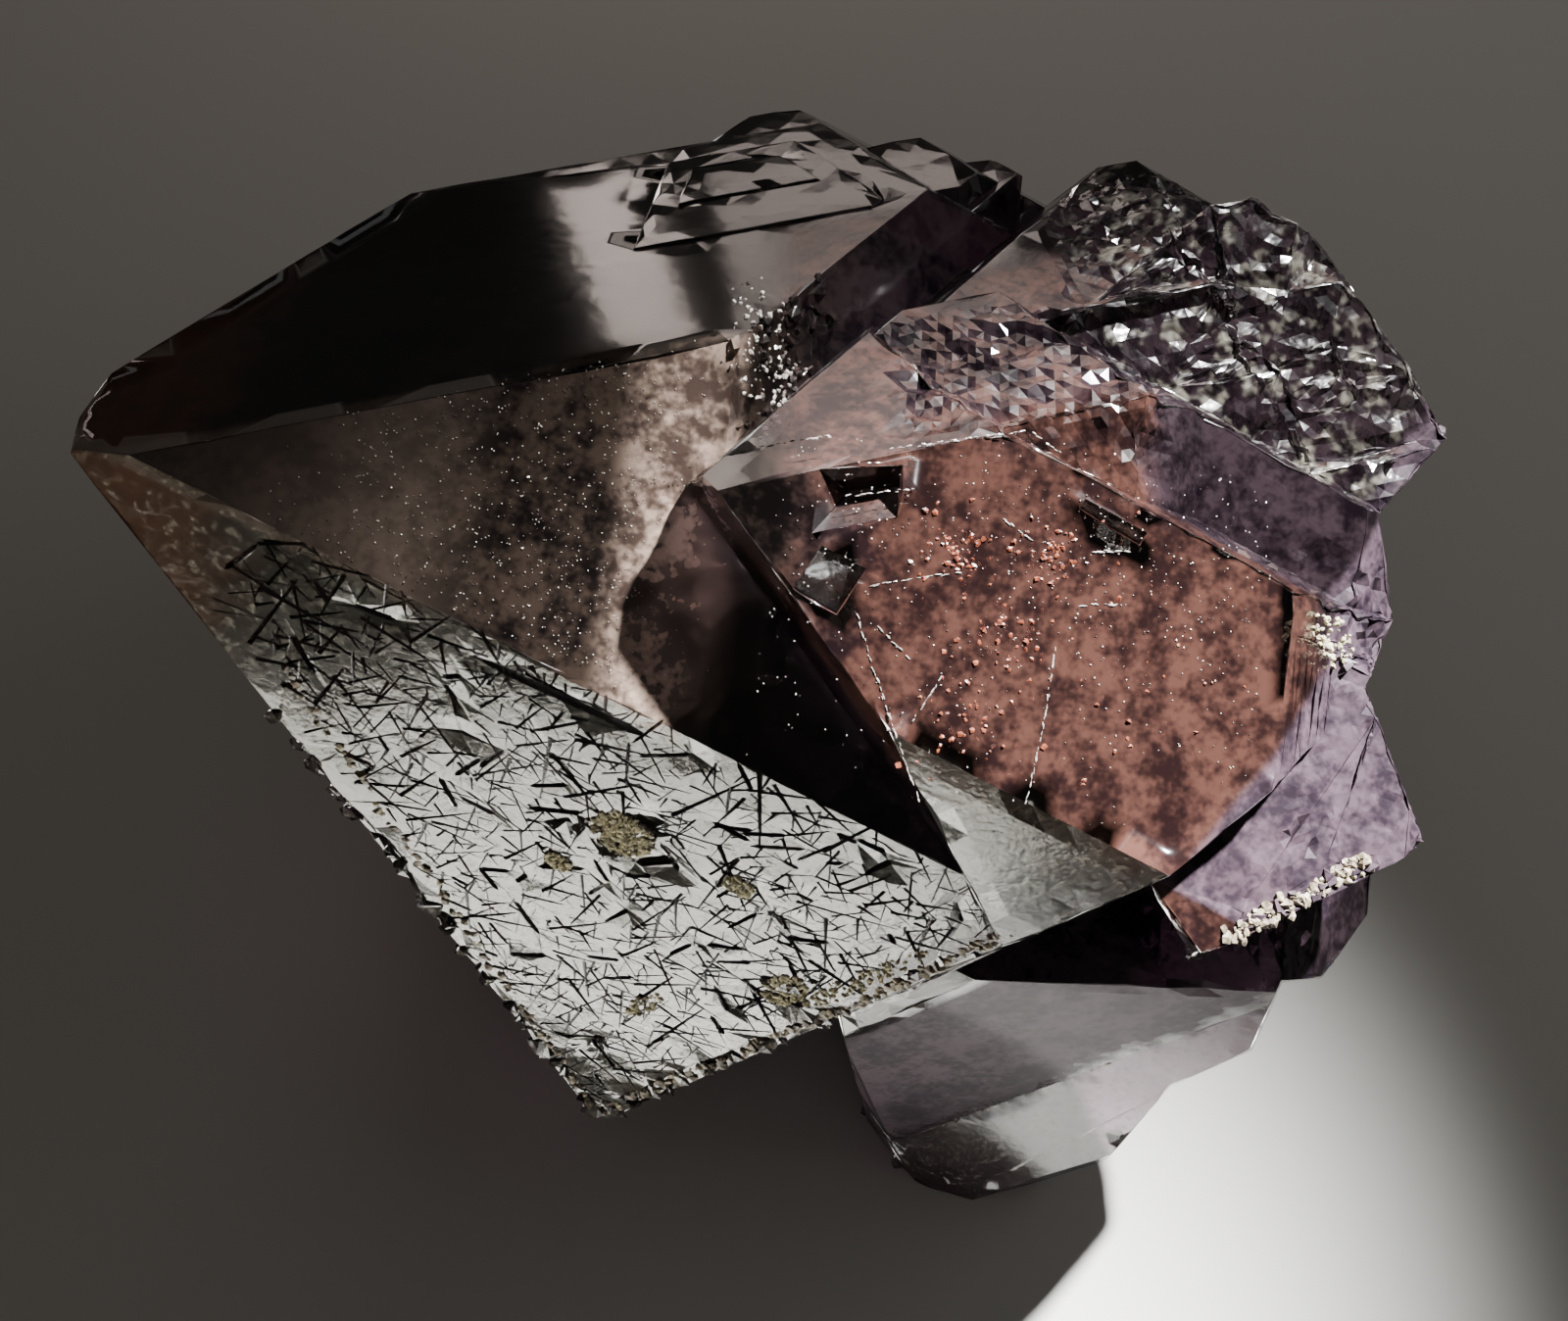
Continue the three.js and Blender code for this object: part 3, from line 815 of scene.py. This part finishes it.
class AMETHYST_OT_studio(bpy.types.Operator):
    """Lay the floor, hang the lights and set the camera"""

    bl_idname = "amethyst.studio"
    bl_label = "Studio"

    def execute(self, context):
        settings = context.scene.amethyst_studio
        self.lay_floor(context, settings)
        self.hang_lights(context)
        self.set_camera(context, settings)
        return {"FINISHED"}

    def lay_floor(self, context, settings):
        bm = bmesh.new()
        bmesh.ops.create_grid(bm, x_segments=1, y_segments=1, size=1.5)
        mesh = bpy.data.meshes.new("floor")
        bm.to_mesh(mesh)
        bm.free()
        floor = bpy.data.objects.new("floor", mesh)
        context.scene.collection.objects.link(floor)
        look = Finish("pale_floor")
        surface = look.surface(base_color=tuple(settings.floor_colour), roughness=0.8)
        mesh.materials.append(look.done(surface))

    def aimed(self, context, name, lamp, place, aim, roll=0.0):
        """Hangs a lamp at a place, turned to what it is aimed at. Places are in millimetres."""
        light = bpy.data.objects.new(name, lamp)
        context.scene.collection.objects.link(light)
        place, aim = Vector(place) * MM, Vector(aim) * MM
        turn = (place - aim).to_track_quat("Z", "Y").to_matrix().to_4x4()
        spin = Matrix.Rotation(math.radians(roll), 4, "Z")
        light.matrix_world = Matrix.Translation(place) @ turn @ spin
        light.visible_camera = False
        return light

    def hang_panel(self, context, name, place, aim, size, brightness, colour=(1, 1, 1), roll=0.0):
        """Hangs a rectangular panel with a given brightness, whatever its size in millimetres."""
        lamp = bpy.data.lights.new(name, "AREA")
        lamp.shape = "RECTANGLE"
        lamp.size, lamp.size_y = (value * MM for value in size)
        lamp.energy = brightness * math.pi * lamp.size * lamp.size_y
        lamp.color = colour
        return self.aimed(context, name, lamp, place, aim, roll)

    def hang_lights(self, context):
        # A beam from behind on the right crosses the crystal and lights the floor beyond it, which the
        # lower face mirrors.
        beam = bpy.data.lights.new("beam", "SPOT")
        beam.energy = 105
        beam.spot_size = math.radians(12.6)
        beam.spot_blend = 0.92
        beam.shadow_soft_size = 8 * MM
        self.aimed(context, "beam", beam, (170, 203, 227), (-19, -67, 0))
        # A panel lying face up, further to the left, carries that bright floor on for the lower face.
        warm = (1, 0.975, 0.85)
        self.hang_panel(
            context, "front_card", place=(-41, -96, 1), aim=(-41, -96, 100), size=(62, 112),
            brightness=9, colour=warm,
        )
        # A soft panel on the right gives the floor its slow fall of light to the left.
        self.hang_panel(
            context, "soft_right", place=(170, 60, 110), aim=(0, 0, 10), size=(110, 110), brightness=0.65,
        )
        # Two upright panels behind, with a gap between them, which the upper face mirrors.
        rosy = (1, 0.84, 0.77)
        self.hang_panel(
            context, "rear_left", place=(-20.5, 120, 40), aim=(-8, 0, 40), size=(8.5, 46),
            brightness=5, colour=rosy, roll=14,
        )
        self.hang_panel(
            context, "rear_right", place=(4, 120, 40), aim=(4, 0, 40), size=(30, 46),
            brightness=2.2, colour=rosy, roll=8,
        )
        world = bpy.data.worlds.new("studio")
        world.use_nodes = True
        world.node_tree.nodes["Background"].inputs["Color"].default_value = (0.05, 0.048, 0.044, 1)
        context.scene.world = world

    def set_camera(self, context, settings):
        camera = bpy.data.cameras.new("camera")
        camera.lens = settings.lens
        camera.sensor_width = 36
        camera.clip_start = 1 * MM
        seen = bpy.data.objects.new("camera", camera)
        context.scene.collection.objects.link(seen)
        turn = Matrix.Rotation(math.pi / 2 - settings.camera_lift, 4, "X")
        seen.matrix_world = Matrix.Translation(FRONT_CORNER + CAMERA_OFFSET) @ turn
        context.scene.camera = seen


class AMETHYST_PT_panel(bpy.types.Panel):
    """The makers of the amethyst point"""

    bl_idname = "AMETHYST_PT_panel"
    bl_label = "Amethyst point"
    bl_space_type = "VIEW_3D"
    bl_region_type = "UI"
    bl_category = "Amethyst"

    def draw(self, context):
        for group in SETTINGS:
            settings = getattr(context.scene, group)
            box = self.layout.box()
            for name in settings.bl_rna.properties.keys():
                if name not in ("rna_type", "name"):
                    box.prop(settings, name)
        for operator in MAKERS:
            self.layout.operator(operator.bl_idname)


MAKERS = (
    AMETHYST_OT_crystal,
    AMETHYST_OT_specks,
    AMETHYST_OT_cracks,
    AMETHYST_OT_sparks,
    AMETHYST_OT_crumbs,
    AMETHYST_OT_clay,
    AMETHYST_OT_studio,
)
SETTINGS = {
    "amethyst_crystal": CrystalSettings,
    "amethyst_growth": GrowthSettings,
    "amethyst_studio": StudioSettings,
}


def register():
    for part in (*SETTINGS.values(), *MAKERS, AMETHYST_PT_panel):
        bpy.utils.register_class(part)
    for name, group in SETTINGS.items():
        setattr(bpy.types.Scene, name, PointerProperty(type=group))


def unregister():
    for name in SETTINGS:
        delattr(bpy.types.Scene, name)
    for part in reversed((*SETTINGS.values(), *MAKERS, AMETHYST_PT_panel)):
        bpy.utils.unregister_class(part)


def main():
    register()
    bpy.ops.amethyst.crystal()
    bpy.ops.amethyst.specks()
    bpy.ops.amethyst.cracks()
    bpy.ops.amethyst.sparks()
    bpy.ops.amethyst.crumbs()
    bpy.ops.amethyst.clay()
    bpy.ops.amethyst.studio()


if __name__ == "__main__":
    main()
